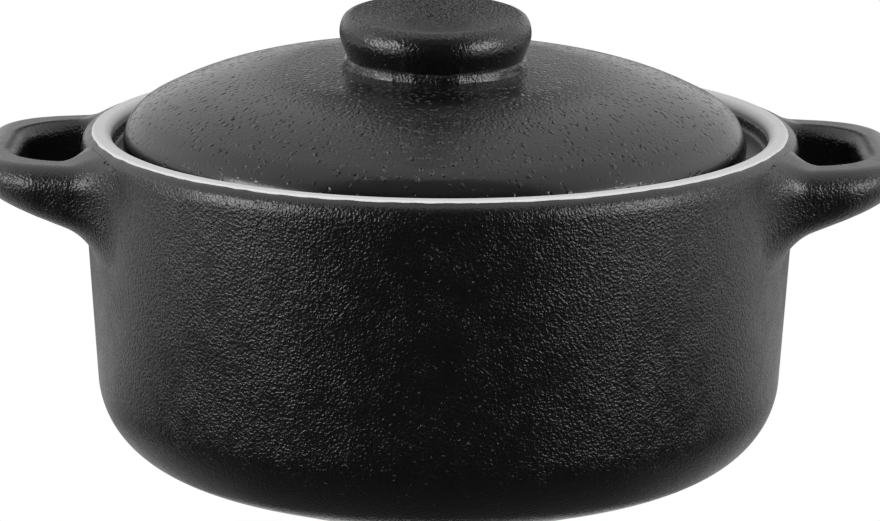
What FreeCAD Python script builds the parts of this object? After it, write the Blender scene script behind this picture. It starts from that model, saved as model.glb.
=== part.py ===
import FreeCAD, Part
import math
import os
import Sketcher

# A mini casserole dish in black-glazed stoneware: a round dish with a bare rim and foot, two loop
# handles luted to its wall, and a domed lift-off lid that drops into a gallery inside the rim.
# Millimetres. +Z is up, +X runs through the handles, and the origin is under the middle of the foot.

SIZES = [
    ("rim_radius", 55.0, "outer edge of the flat rim"),
    ("rim_height", 54.6, "table to the top of the rim"),
    ("rim_width", 3.1, "flat rim, outer edge to inner edge"),
    ("rim_outer_round", 0.4, "round on the rim's outer edge"),
    ("rim_inner_round", 1.3, "round on the rim's inner edge"),
    ("band_outside", 0.5, "bare clay below the rim, outside"),
    ("band_inside", 2.4, "bare clay below the rim, inside"),
    ("wall_thickness", 4.0, "side wall"),
    ("wall_lean", 1.2, "how far inside the rim's edge the wall meets the base"),
    ("shoulder_swell", 1.9, "how far the shoulder stands out beyond the rim"),
    ("shoulder_drop", 3.8, "shoulder below the top of the rim"),
    ("shoulder_round", 8.0, "round over the shoulder"),
    ("base_thickness", 4.2, "floor of the dish"),
    ("base_round", 14.0, "outer round from the base to the wall"),
    ("inner_round", 10.0, "inner round from the floor to the wall"),
    ("foot_height", 1.5, "foot ring, table to base"),
    ("foot_width", 5.0, "foot ring across its flat"),
    ("foot_set_in", 0.4, "foot ring inside the start of the base round"),
    ("foot_round", 0.6, "rounds under the foot ring"),
    ("seat_depth", 3.6, "gallery seat below the top of the rim"),
    ("seat_width", 5.6, "gallery seat, wall to mouth"),
    ("seat_back_round", 0.8, "round between the seat and the rim's inside"),
    ("ledge_thickness", 3.4, "gallery ledge at the mouth"),
    ("ledge_slope", 6.0, "height of the slope under the ledge"),
    ("mouth_round", 1.2, "rounds on the ledge at the mouth"),
    ("under_ledge_round", 5.0, "round where the slope meets the wall"),
    ("lid_gap", 2.6, "lid's edge to the rim's inside"),
    ("lid_play_left", 0.8, "how far the loose lid lies to the left on its seat"),
    ("lid_play_front", 1.0, "how far the loose lid lies to the front on its seat"),
    ("lid_rise", 13.9, "seat to the top of the crown"),
    ("lid_thickness", 4.2, "dome of the lid"),
    ("lid_edge_height", 5.4, "seat to where the dome's slope meets the lid's edge"),
    ("lid_edge_round", 7.0, "round from the slope to the lid's edge"),
    ("lid_seat_round", 1.0, "round under the lid's edge"),
    ("crown_set_in", 15.2, "lid's edge to where the slope meets the crown"),
    ("crown_fall", 0.9, "fall of the crown from its middle to the slope"),
    ("crown_round", 48.0, "round from the crown to the slope"),
    ("hollow_round", 20.0, "round inside the dome"),
    ("hollow_lip", 3.0, "upright lip inside the lid above its seat"),
    ("ring_clearance", 1.8, "locating ring to the mouth"),
    ("ring_width", 2.6, "locating ring across its top"),
    ("ring_depth", 3.8, "locating ring below the seat"),
    ("ring_taper", 0.4, "locating ring, narrowing to its lower edge"),
    ("ring_round", 0.8, "rounds on the locating ring's lower edge"),
    ("knob_radius", 15.8, "corner that the knob's roll is rounded from"),
    ("knob_height", 8.8, "crown to the crest round the knob's hollow"),
    ("knob_crest_radius", 12.9, "crest round the hollow"),
    ("knob_crest_round", 1.0, "round over the crest"),
    ("knob_dish", 1.8, "hollow in the top of the knob"),
    ("knob_dish_flat", 4.5, "radius of the hollow's floor"),
    ("knob_dish_round", 22.0, "round from the hollow's floor to its side"),
    ("knob_roll_round", 4.5, "round of the roll"),
    ("knob_roll_height", 6.5, "crown to the roll's corner"),
    ("neck_radius", 13.8, "neck of the knob"),
    ("neck_height", 0.8, "upright part of the neck"),
    ("neck_round", 1.0, "round between the neck and the roll"),
    ("bead_width", 1.4, "slip bead round the neck"),
    ("bead_height", 0.6, "slip bead above the crown"),
    ("bead_round", 0.5, "round on the slip bead"),
    ("handle_reach", 17.5, "handle beyond the rim's outer edge"),
    ("handle_width", 41.4, "handle from front to back"),
    ("handle_drop", 2.6, "handle's flat top below the top of the rim"),
    ("handle_bar", 6.2, "bars of the handle seen from above"),
    ("handle_end_depth", 4.8, "depth of the handle at its outer end"),
    ("handle_root_depth", 11.2, "depth of the handle below the rim's outer edge"),
    ("handle_corner", 8.5, "outer corners of the handle seen from above"),
    ("slot_corner", 4.5, "corners of the finger slot"),
    ("handle_round", 2.2, "rounds along the outside of the bars"),
    ("slot_round", 2.2, "rounds along the finger slot"),
    ("root_round", 6.0, "clay smoothed between the handle and the wall"),
    ("root_depth", 10.0, "blank's start, inside the rim's outer edge"),
    ("luting_gap", 0.02, "joint between a luted piece and the wall"),
]

# Places that follow from the sizes.
FULL_WALL = "(sizes.rim_radius + sizes.shoulder_swell)"
WALL_FOOT = "(sizes.rim_radius - sizes.wall_lean)"
RIM_INSIDE = "(sizes.rim_radius - sizes.rim_width)"
MOUTH = "(sizes.rim_radius - sizes.rim_width - sizes.seat_width)"
SHOULDER_Z = "(sizes.rim_height - sizes.shoulder_drop)"
SEAT_Z = "(sizes.rim_height - sizes.seat_depth)"
LEDGE_Z = "(sizes.rim_height - sizes.seat_depth - sizes.ledge_thickness)"
FLOOR_Z = "(sizes.foot_height + sizes.base_thickness)"
FOOT_EDGE = "(sizes.rim_radius - sizes.wall_lean - sizes.base_round - sizes.foot_set_in)"
BAND_EDGE = "(sizes.rim_radius + sizes.shoulder_swell * sizes.band_outside / sizes.shoulder_drop)"
LID_EDGE = "(sizes.rim_radius - sizes.rim_width - sizes.lid_gap)"
CROWN_EDGE = "(sizes.rim_radius - sizes.rim_width - sizes.lid_gap - sizes.crown_set_in)"
CROWN_Z = "(sizes.rim_height - sizes.seat_depth + sizes.lid_rise)"
RING_OUTSIDE = f"({MOUTH} - sizes.ring_clearance)"
RING_INSIDE = f"({MOUTH} - sizes.ring_clearance - sizes.ring_width)"
HANDLE_END = "(sizes.rim_radius + sizes.handle_reach)"
HANDLE_START = "(sizes.rim_radius - sizes.root_depth)"
HANDLE_TOP = "(sizes.rim_height - sizes.handle_drop)"
SLOT_HALF = "(sizes.handle_width / 2 - sizes.handle_bar)"
SLOT_END = "(sizes.rim_radius + sizes.handle_reach - sizes.handle_bar)"
GLAZE_Z = "(sizes.rim_height - sizes.band_outside)"
RAISED_Z = "(sizes.rim_height + sizes.root_round)"
RAISED_WALL = "(sizes.rim_radius - sizes.shoulder_swell * sizes.root_round / sizes.shoulder_drop)"

# Rounds of the handles, each limited by the clay that it is cut into or fills.
ROUND_SHARE = 0.47
ROOT_SHARE = 0.82
ROOT_SLOT_SHARE = 0.385
OUTSIDE_ROUND = (f"min(sizes.handle_round; {ROUND_SHARE} * sizes.handle_end_depth; "
                 f"{ROUND_SHARE} * sizes.handle_bar)")
SLOT_ROUND = f"min(sizes.slot_round; {ROUND_SHARE} * sizes.handle_bar)"
ROOT_ROUND = (f"min(sizes.root_round; {ROOT_SLOT_SHARE} * {SLOT_HALF}; {ROOT_SHARE} * "
              "(sizes.handle_reach - sizes.handle_bar - sizes.slot_corner))")

# Names for the sketcher's numbers, and the margins that the shapes are made with.
AXIS = "0"
TABLE = "0"
START_INDEX = 1
END_INDEX = 2
VERTICAL_AXIS_INDEX = -2
ORIGIN_INDEX = -1
ORIGIN_POINT_INDEX = 1
NEAR = 0.01
SIDE_SHARE = 0.99
UPRIGHT = 0.1
CUT_MARGIN = 1.0
FULL_TURN = 360


def crown_at(radius):
    """Height of the crown's gentle cone at a radius, as an expression."""
    return f"({CROWN_Z} - sizes.crown_fall * ({radius}) / {CROWN_EDGE})"


def make_sheet(document):
    """Puts the driving dimensions in a sheet, one alias to a cell."""
    sheet = document.addObject("Spreadsheet::Sheet", "sizes")
    for row, (alias, number, note) in enumerate(SIZES, start=1):
        sheet.set(f"A{row}", note)
        sheet.set(f"B{row}", str(number))
        sheet.setAlias(f"B{row}", alias)
    document.recompute()
    return sheet


doc = FreeCAD.newDocument("casserole")
sizes = make_sheet(doc)


def number_of(expression):
    """The number an expression of the sheet comes to."""
    found = sizes.evalExpression(expression)
    return float(getattr(found, "Value", found))


def new_sketch(body, name, plane):
    """An empty sketch on one of the body's own origin planes."""
    sketch = body.newObject("Sketcher::SketchObject", name)
    base = next(part for part in body.Origin.OriginFeatures if part.Role == plane)
    sketch.AttachmentSupport = [(base, "")]
    sketch.MapMode = "FlatFace"
    return sketch


def half_angle(before, corner, after):
    """Half of the angle that an outline makes at a corner."""
    back = (before - corner).normalize()
    ahead = (after - corner).normalize()
    return math.acos(max(-1.0, min(1.0, back.dot(ahead)))) / 2


def corner_arc(before, corner, after, radius):
    """Tangent arc at a corner: its first point, last point, centre and turning side."""
    back = (before - corner).normalize()
    ahead = (after - corner).normalize()
    half = half_angle(before, corner, after)
    first = corner + back * (radius / math.tan(half))
    last = corner + ahead * (radius / math.tan(half))
    centre = corner + (back + ahead).normalize() * (radius / math.sin(half))
    turns_left = back.cross(ahead).z < 0
    return first, last, centre, turns_left


def shares_that_fit(points, radii):
    """Share of each round that its two sides leave room for, 1 where it fits whole."""
    count = len(points)
    reaches = [radii[index] / math.tan(half_angle(points[index - 1], points[index],
                                                  points[(index + 1) % count]))
               for index in range(count)]
    shares = [1.0] * count
    for index in range(count):
        after = (index + 1) % count
        needed = reaches[index] + reaches[after]
        room = SIDE_SHARE * (points[after] - points[index]).Length
        if needed > room:
            shares[index] = min(shares[index], room / needed)
            shares[after] = min(shares[after], room / needed)
    return shares


def draw_outline(sketch, corners):
    """Closes an outline through named corners and rounds the ones that have a round.

    Each corner is (name, across, up, round). The first two sizes place the corner in the sketch
    and the third is its radius, or None. All are expressions, and each becomes a bound constraint.
    """
    points = [FreeCAD.Vector(number_of(across), number_of(up), 0) for _, across, up, _ in corners]
    radii = [number_of(rounding) if rounding else 0.0 for _, _, _, rounding in corners]
    shares = shares_that_fit(points, radii)
    count = len(corners)
    arcs = [corner_arc(points[index - 1], points[index], points[(index + 1) % count],
                       radii[index] * shares[index]) for index in range(count)]
    lines = [sketch.addGeometry(Part.LineSegment(arcs[index][1], arcs[(index + 1) % count][0]), False)
             for index in range(count)]
    rules, bindings = [], []
    for index, (name, across, up, rounding) in enumerate(corners):
        before, after = lines[index - 1], lines[index]
        point = points[index]
        if rounding is None:
            rules.append(Sketcher.Constraint("Coincident", before, END_INDEX, after, START_INDEX))
            place = after
        else:
            first, last, centre, left = arcs[index]
            radius = radii[index] * shares[index]
            circle = Part.Circle(centre, FreeCAD.Vector(0, 0, 1), radius)
            low, high = (first, last) if left else (last, first)
            angles = [math.atan2(end.y - centre.y, end.x - centre.x) for end in (low, high)]
            arc = sketch.addGeometry(Part.ArcOfCircle(circle, *angles), False)
            place = sketch.addGeometry(Part.Point(point), True)
            arc_in, arc_out = (START_INDEX, END_INDEX) if left else (END_INDEX, START_INDEX)
            rules.append(Sketcher.Constraint("Tangent", before, END_INDEX, arc, arc_in))
            rules.append(Sketcher.Constraint("Tangent", after, START_INDEX, arc, arc_out))
            rules.append(Sketcher.Constraint("PointOnObject", place, START_INDEX, before))
            rules.append(Sketcher.Constraint("PointOnObject", place, START_INDEX, after))
            bindings.append((len(rules), f"{name}_round", f"{shares[index]} * {rounding}"))
            rules.append(Sketcher.Constraint("Radius", arc, radius))
        if across == AXIS:
            rules.append(Sketcher.Constraint("PointOnObject", place, START_INDEX, VERTICAL_AXIS_INDEX))
        else:
            bindings.append((len(rules), f"{name}_across", across))
            rules.append(Sketcher.Constraint("DistanceX", ORIGIN_INDEX, ORIGIN_POINT_INDEX,
                                             place, START_INDEX, point.x))
        bindings.append((len(rules), f"{name}_up", up))
        rules.append(Sketcher.Constraint("DistanceY", ORIGIN_INDEX, ORIGIN_POINT_INDEX,
                                         place, START_INDEX, point.y))
    sketch.addConstraint(rules)
    for index, name, expression in bindings:
        sketch.renameConstraint(index, name)
        sketch.setExpression(f"Constraints.{name}", expression)


def turn(body, name, corners, kind="PartDesign::Revolution"):
    """Turns an outline about the upright axis, to add clay or to take it away."""
    sketch = new_sketch(body, f"{name}_outline", "XZ_Plane")
    draw_outline(sketch, corners)
    doc.recompute()
    feature = body.newObject(kind, name)
    feature.Profile = sketch
    feature.ReferenceAxis = (sketch, ["V_Axis"])
    feature.Angle = FULL_TURN
    doc.recompute()
    return feature


def turned_piece(label, corners):
    """A body turned from one outline."""
    body = doc.addObject("PartDesign::Body", label)
    body.Label = label
    turn(body, f"{label}_turned", corners)
    return body


# Dish. The outer form is shared by the dish and by the roots of its handles.
def outer_form(gap="0"):
    """Corners of the dish's outer form from the base to the shoulder, grown by a gap."""
    return [
        ("base_middle", AXIS, f"sizes.foot_height - {gap}", None),
        ("wall_foot", f"{WALL_FOOT} + {gap}", f"sizes.foot_height - {gap}", "sizes.base_round"),
        ("shoulder", f"{FULL_WALL} + {gap}", SHOULDER_Z, "sizes.shoulder_round"),
    ]


def make_dish():
    """Wall, floor and gallery, glazed inside and out up to the bare rim."""
    return turned_piece("dish_body", outer_form() + [
        ("glaze_line_outside", BAND_EDGE, GLAZE_Z, None),
        ("glaze_line_inside", RIM_INSIDE, "sizes.rim_height - sizes.band_inside", None),
        ("seat_back", RIM_INSIDE, SEAT_Z, "sizes.seat_back_round"),
        ("mouth_top", MOUTH, SEAT_Z, "sizes.mouth_round"),
        ("mouth_bottom", MOUTH, LEDGE_Z, "sizes.mouth_round"),
        ("under_ledge", f"{FULL_WALL} - sizes.wall_thickness", f"{LEDGE_Z} - sizes.ledge_slope",
         "sizes.under_ledge_round"),
        ("floor_edge", f"{WALL_FOOT} - sizes.wall_thickness", FLOOR_Z, "sizes.inner_round"),
        ("floor_middle", AXIS, FLOOR_Z, None),
    ])


def make_rim():
    """Bare clay on top of the wall, from one glaze line to the other."""
    return turned_piece("rim_band", [
        ("glaze_line_outside", BAND_EDGE, GLAZE_Z, None),
        ("rim_edge", "sizes.rim_radius", "sizes.rim_height", "sizes.rim_outer_round"),
        ("rim_inside", RIM_INSIDE, "sizes.rim_height", "sizes.rim_inner_round"),
        ("glaze_line_inside", RIM_INSIDE, "sizes.rim_height - sizes.band_inside", None),
    ])


def make_foot():
    """Bare foot ring that the dish stands on."""
    foot_inside = f"{FOOT_EDGE} - sizes.foot_width"
    return turned_piece("foot_ring", [
        ("foot_inside_top", foot_inside, "sizes.foot_height", None),
        ("foot_inside_table", foot_inside, TABLE, "sizes.foot_round"),
        ("foot_edge_table", FOOT_EDGE, TABLE, "sizes.foot_round"),
        ("foot_edge_top", FOOT_EDGE, "sizes.foot_height", None),
    ])


# Lid. Its pieces lie off the middle of the seat by the play, as a loose lid does.
def rest_on_seat(body):
    """Shifts a lid piece to where the loose lid lies."""
    body.setExpression("Placement.Base.x", "-sizes.lid_play_left")
    body.setExpression("Placement.Base.y", "-sizes.lid_play_front")
    return body


def make_lid():
    """Domed shell with a flat seat under its edge."""
    lip = f"{RING_INSIDE} - sizes.ring_taper"
    hollow_edge = f"{CROWN_EDGE} - sizes.lid_thickness / 2"
    hollow_top = f"{CROWN_Z} - sizes.lid_thickness"
    return rest_on_seat(turned_piece("lid_shell", [
        ("crown_middle", AXIS, CROWN_Z, None),
        ("crown_edge", CROWN_EDGE, f"{CROWN_Z} - sizes.crown_fall", "sizes.crown_round"),
        ("edge_top", LID_EDGE, f"{SEAT_Z} + sizes.lid_edge_height", "sizes.lid_edge_round"),
        ("edge_bottom", LID_EDGE, SEAT_Z, "sizes.lid_seat_round"),
        ("lip_bottom", RING_INSIDE, SEAT_Z, None),
        ("lip_top", lip, f"{SEAT_Z} + sizes.hollow_lip", None),
        ("hollow_edge", hollow_edge, f"{hollow_top} - sizes.crown_fall", "sizes.hollow_round"),
        ("hollow_middle", AXIS, hollow_top, None),
    ]))


def make_locating_ring():
    """Ring under the lid that keeps it inside the mouth of the dish."""
    low = f"{SEAT_Z} - sizes.ring_depth"
    return rest_on_seat(turned_piece("lid_locating_ring", [
        ("inside_top", RING_INSIDE, SEAT_Z, None),
        ("inside_low", RING_INSIDE, low, "sizes.ring_round"),
        ("outside_low", f"{RING_OUTSIDE} - sizes.ring_taper", low, "sizes.ring_round"),
        ("outside_top", RING_OUTSIDE, SEAT_Z, None),
    ]))


def make_knob():
    """Flat knob with a rolled edge, a waisted neck and a dished top."""
    top = f"{CROWN_Z} + sizes.knob_height"
    return rest_on_seat(turned_piece("lid_knob", [
        ("crown_middle", AXIS, CROWN_Z, None),
        ("neck_foot", "sizes.neck_radius", crown_at("sizes.neck_radius"), None),
        ("neck_top", "sizes.neck_radius", f"{CROWN_Z} + sizes.neck_height", "sizes.neck_round"),
        ("roll", "sizes.knob_radius", f"{CROWN_Z} + sizes.knob_roll_height", "sizes.knob_roll_round"),
        ("crest", "sizes.knob_crest_radius", top, "sizes.knob_crest_round"),
        ("dish_edge", "sizes.knob_dish_flat", f"{top} - sizes.knob_dish", "sizes.knob_dish_round"),
        ("dish_middle", AXIS, f"{top} - sizes.knob_dish", None),
    ]))


def make_bead():
    """Bead of slip squeezed out where the knob is luted to the crown."""
    bead_edge = "sizes.neck_radius + sizes.bead_width"
    return rest_on_seat(turned_piece("knob_slip_bead", [
        ("neck_foot", "sizes.neck_radius", crown_at("sizes.neck_radius"), None),
        ("bead_foot", bead_edge, crown_at(bead_edge), None),
        ("bead_side", f"{bead_edge} - sizes.bead_round / 2", f"{CROWN_Z} + sizes.bead_height / 2",
         "sizes.bead_round"),
        ("neck_top", "sizes.neck_radius", f"{CROWN_Z} + sizes.bead_height", None),
    ]))


# Handles. Each is a flat loop whose underside slopes down to the wall like a bracket.
def is_upright(face, point):
    """True where a face stands upright at a point near it."""
    across, along = face.Surface.parameter(point)
    return abs(face.normalAt(across, along).z) < UPRIGHT


def middle_of(edge):
    """The point half way along an edge."""
    return edge.valueAt((edge.FirstParameter + edge.LastParameter) / 2)


def bar_edges(shape, in_slot):
    """Names of the upper and lower edges along the bars, in the finger slot or outside it."""
    start = number_of(HANDLE_START)
    slot_half = number_of(SLOT_HALF) + NEAR
    slot_end = number_of(SLOT_END) + NEAR
    names = []
    for index, edge in enumerate(shape.Edges, start=1):
        point = middle_of(edge)
        upright = [is_upright(face, point) for face in shape.ancestorsOfType(edge, Part.Face)]
        inside = abs(point.y) < slot_half and point.x < slot_end
        if point.x > start + NEAR and inside == in_slot and sorted(upright) == [False, True]:
            names.append(f"Edge{index}")
    return names


def is_wall(face):
    """True for a face of the dish's outer form, which is turned about the upright axis."""
    centre = getattr(face.Surface, "Apex", None) or getattr(face.Surface, "Center", None)
    turned = face.Surface.TypeId in ("Part::GeomCone", "Part::GeomToroid")
    return turned and math.hypot(centre.x, centre.y) < NEAR


def root_edges(shape):
    """Names of the edges where the bars meet the wall."""
    names = []
    for index, edge in enumerate(shape.Edges, start=1):
        on_wall = [is_wall(face) for face in shape.ancestorsOfType(edge, Part.Face)]
        if sorted(on_wall) == [False, True] and middle_of(edge).z < number_of(HANDLE_TOP) + NEAR:
            names.append(f"Edge{index}")
    return names


def round_edges(body, name, base, edges, radius):
    """Rounds the named edges of the feature before."""
    feature = body.newObject("PartDesign::Fillet", name)
    feature.Base = (base, edges)
    feature.setExpression("Radius", radius)
    doc.recompute()
    return feature


def cut_through(body, name, sketch):
    """Cuts a sketch through the whole handle, to both sides of its plane."""
    feature = body.newObject("PartDesign::Pocket", name)
    feature.Profile = sketch
    feature.Type = "ThroughAll"
    feature.Midplane = True
    doc.recompute()
    return feature


def pad_blank(body, label):
    """The handle's blank: its plan, from its flat top down to the table."""
    half = "sizes.handle_width / 2"
    plan = new_sketch(body, f"{label}_plan", "XY_Plane")
    plan.setExpression("AttachmentOffset.Base.z", HANDLE_TOP)
    draw_outline(plan, [
        ("root_front", HANDLE_START, f"-{half}", None),
        ("end_front", HANDLE_END, f"-{half}", "sizes.handle_corner"),
        ("end_back", HANDLE_END, half, "sizes.handle_corner"),
        ("root_back", HANDLE_START, half, None),
    ])
    doc.recompute()
    blank = body.newObject("PartDesign::Pad", f"{label}_blank")
    blank.Profile = plan
    blank.Reversed = True
    blank.setExpression("Length", HANDLE_TOP)
    doc.recompute()


def slope_underside(body, label):
    """Cuts the blank away below a slope that falls from the handle's end to its root."""
    below = new_sketch(body, f"{label}_underside", "XZ_Plane")
    fall = "((sizes.handle_root_depth - sizes.handle_end_depth) / sizes.handle_reach)"
    inner, outer = f"{HANDLE_START} - {CUT_MARGIN}", f"{HANDLE_END} + {CUT_MARGIN}"
    inner_low = f"{HANDLE_TOP} - sizes.handle_root_depth - {fall} * (sizes.root_depth + {CUT_MARGIN})"
    outer_low = f"{HANDLE_TOP} - sizes.handle_end_depth + {fall} * {CUT_MARGIN}"
    draw_outline(below, [
        ("table_root", inner, f"-{CUT_MARGIN}", None),
        ("table_end", outer, f"-{CUT_MARGIN}", None),
        ("end", outer, outer_low, None),
        ("root", inner, inner_low, None),
    ])
    doc.recompute()
    cut_through(body, f"{label}_underside_cut", below)


def cut_slot(body, label):
    """Cuts the finger slot, from inside the wall to the handle's end bar."""
    start = f"({HANDLE_START} - {CUT_MARGIN})"
    slot = new_sketch(body, f"{label}_slot", "XY_Plane")
    draw_outline(slot, [
        ("root_front", start, f"-{SLOT_HALF}", None),
        ("end_front", SLOT_END, f"-{SLOT_HALF}", "sizes.slot_corner"),
        ("end_back", SLOT_END, SLOT_HALF, "sizes.slot_corner"),
        ("root_back", start, SLOT_HALF, None),
    ])
    doc.recompute()
    return cut_through(body, f"{label}_slot_cut", slot)


def smooth_into_wall(body, label):
    """Fills the corner between the bars and the wall, then takes the wall away again.

    The wall is carried on above the rim while the corner is filled, so the filling keeps its round
    up to the glaze line, where it is trimmed.
    """
    wall = turn(body, f"{label}_wall", outer_form() + [
        ("wall_top", RAISED_WALL, RAISED_Z, None),
        ("middle_top", AXIS, RAISED_Z, None),
    ])
    round_edges(body, f"{label}_root_rounds", wall, root_edges(wall.Shape), ROOT_ROUND)
    above = f"{RAISED_Z} + sizes.luting_gap"
    turn(body, f"{label}_seat_cut", outer_form("sizes.luting_gap") + [
        ("glaze_line", f"{BAND_EDGE} + sizes.luting_gap", GLAZE_Z, None),
        ("clear_of_end", HANDLE_END, GLAZE_Z, None),
        ("clear_above", HANDLE_END, above, None),
        ("middle_above", AXIS, above, None),
    ], "PartDesign::Groove")


def make_handle(label, turned_by):
    """One loop handle, pressed flat on top, smoothed into the wall and turned to its side."""
    body = doc.addObject("PartDesign::Body", label)
    body.Label = label
    pad_blank(body, label)
    slope_underside(body, label)
    loop = cut_slot(body, label)
    outside = round_edges(body, f"{label}_bar_rounds", loop, bar_edges(loop.Shape, False),
                          OUTSIDE_ROUND)
    round_edges(body, f"{label}_slot_rounds", outside, bar_edges(outside.Shape, True), SLOT_ROUND)
    smooth_into_wall(body, label)
    upright = FreeCAD.Vector(0, 0, 1)
    body.Placement = FreeCAD.Placement(FreeCAD.Vector(), FreeCAD.Rotation(upright, turned_by))
    return body


def check_document():
    """Stops if any object of the document failed."""
    for item in doc.Objects:
        if "Invalid" in item.State or "Error" in item.State:
            raise RuntimeError(f"{item.Name} failed: {item.State}")


def write_piece(body):
    """Checks one piece and writes it under its own name."""
    shape = body.Shape
    if shape.isNull() or not shape.isValid() or len(shape.Solids) != 1:
        raise RuntimeError(f"{body.Label} has no single valid solid")
    shape.exportStep(os.path.join("parts", f"{body.Label}.step"))
    print(f"{body.Label}: {shape.Volume / 1000:.2f} cm3")


pieces = [
    make_dish(),
    make_rim(),
    make_foot(),
    make_handle("right_handle", 0),
    make_handle("left_handle", 180),
    make_lid(),
    make_locating_ring(),
    make_knob(),
    make_bead(),
]
doc.recompute()
check_document()
os.makedirs("parts", exist_ok=True)
for piece in pieces:
    write_piece(piece)
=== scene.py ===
"""Looks of a mini casserole dish in matt black glazed stoneware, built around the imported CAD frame.

The frame gives the places and the main sizes. Each sub-assembly is a class that holds its sizes in
millimetres, builds its meshes at the frame's own place and dresses them in procedural glaze or clay.
"""

import logging
import math
from collections.abc import Callable, Mapping, Sequence
from dataclasses import dataclass, field
from enum import Enum

import bpy
import numpy as np
from mathutils import Matrix, Vector, noise


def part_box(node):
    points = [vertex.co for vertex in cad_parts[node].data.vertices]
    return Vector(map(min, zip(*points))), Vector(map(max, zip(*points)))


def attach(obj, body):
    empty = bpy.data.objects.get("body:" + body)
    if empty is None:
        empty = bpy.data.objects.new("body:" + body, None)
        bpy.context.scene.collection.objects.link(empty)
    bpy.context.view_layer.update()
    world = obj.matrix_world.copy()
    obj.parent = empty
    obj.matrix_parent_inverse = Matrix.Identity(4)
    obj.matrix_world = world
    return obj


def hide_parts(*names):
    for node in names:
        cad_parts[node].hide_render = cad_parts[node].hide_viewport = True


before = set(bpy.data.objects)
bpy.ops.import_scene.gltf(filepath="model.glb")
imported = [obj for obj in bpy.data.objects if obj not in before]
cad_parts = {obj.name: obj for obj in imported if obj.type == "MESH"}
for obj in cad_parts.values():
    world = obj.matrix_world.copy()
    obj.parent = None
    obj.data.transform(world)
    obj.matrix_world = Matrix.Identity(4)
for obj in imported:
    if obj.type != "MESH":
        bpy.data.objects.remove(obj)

Array = np.ndarray
Faces = list[list[int]]
Tree = bpy.types.NodeTree
Socket = bpy.types.NodeSocket

MM = 0.001
WHITE = (1, 1, 1, 1)

# Most of a side that the arcs at its two ends may take up together.
SIDE_SHARE = 0.99

# Surface net: steps that settle its vertices, a step's reach as a share of a cell, the least slope
# to divide by, and the length in mm over which a slope is taken.
SETTLING_STEPS = 4
SETTLING_REACH = 0.25
LEAST_SLOPE = 1e-6
SLOPE_STEP = 0.02

# Settings that several shader nodes share.
SMOOTH = {"interpolation_type": "SMOOTHSTEP"}
TIMES = {"operation": "MULTIPLY"}

# Height of a unit normal up to which a face counts as steep, and from which it counts as level.
STEEP = 0.6
LEVEL = 0.9

log = logging.getLogger("casserole")


# Shapes

@dataclass(frozen=True)
class Corner:
    """One corner of a turned outline: distance from the axis, height and round, in mm."""

    across: float
    up: float
    round: float = 0.0


def arc_reaches(points: Array, corners: Sequence[Corner], closed: bool) -> Array:
    """Length of each side that the arc at a corner takes up, less where two arcs share a short side.

    Args:
        points: The corners' places in mm.
        corners: The corners in order.
        closed: True if the last corner joins the first.

    Returns:
        Length from each corner to the ends of its arc, in mm.
    """
    count = len(corners)
    reaches = np.zeros(count)
    for index, corner in enumerate(corners):
        if corner.round > 0 and (closed or 0 < index < count - 1):
            reaches[index] = corner.round / math.tan(half_angle(points, index))
    lengths = np.linalg.norm(np.roll(points, -1, 0) - points, axis=1)
    shares = np.ones(count)
    for index in range(count if closed else count - 1):
        after = (index + 1) % count
        wanted = reaches[index] + reaches[after]
        if wanted > SIDE_SHARE * lengths[index]:
            share = SIDE_SHARE * lengths[index] / wanted
            shares[index] = min(shares[index], share)
            shares[after] = min(shares[after], share)
    return reaches * shares


def half_angle(points: Array, index: int) -> float:
    """Half of the angle between the two sides that meet at a corner.

    Args:
        points: The corners' places in mm.
        index: Which corner.

    Returns:
        The half angle in radians.
    """
    back = points[index - 1] - points[index]
    ahead = points[(index + 1) % len(points)] - points[index]
    cosine = back @ ahead / (np.linalg.norm(back) * np.linalg.norm(ahead))
    return math.acos(float(np.clip(cosine, -1, 1))) / 2


def rounded_outline(corners: Sequence[Corner], step: float, closed: bool = False) -> Array:
    """Outline through corners, with tangent arcs at the rounded ones.

    Args:
        corners: The corners in order.
        step: Longest distance between two points of the outline, in mm.
        closed: True if the last corner joins the first.

    Returns:
        Points (across, up) in mm.
    """
    points = np.array([(corner.across, corner.up) for corner in corners])
    count = len(corners)
    outline: list[Array] = []
    for index, reach in enumerate(arc_reaches(points, corners, closed)):
        here = points[index]
        if reach == 0:
            outline.append(here)
            continue
        back = points[index - 1] - here
        ahead = points[(index + 1) % count] - here
        back, ahead = back / np.linalg.norm(back), ahead / np.linalg.norm(ahead)
        half = half_angle(points, index)
        radius = reach * math.tan(half)
        middle = here + (back + ahead) / np.linalg.norm(back + ahead) * radius / math.sin(half)
        start, end = here + back * reach - middle, here + ahead * reach - middle
        turn = math.atan2(start[0] * end[1] - start[1] * end[0], start @ end)
        first = math.atan2(start[1], start[0])
        pieces = max(2, math.ceil(abs(turn) * radius / step))
        for angle in first + turn * np.linspace(0, 1, pieces + 1):
            outline.append(middle + radius * np.array((math.cos(angle), math.sin(angle))))
    return divided(np.array(outline), step, closed)


def divided(outline: Array, step: float, closed: bool) -> Array:
    """Outline with points added along its long sides.

    Args:
        outline: Points (across, up) in mm.
        step: Longest distance between two points, in mm.
        closed: True if the last point joins the first.

    Returns:
        The outline with the added points.
    """
    ends = np.roll(outline, -1, 0) if closed else outline[1:]
    parts: list[Array] = []
    for start, end in zip(outline, ends):
        pieces = max(1, math.ceil(np.linalg.norm(end - start) / step))
        parts.append(start + (end - start) * np.linspace(0, 1, pieces, endpoint=False)[:, None])
    if not closed:
        parts.append(outline[-1:])
    return np.concatenate(parts)


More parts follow.
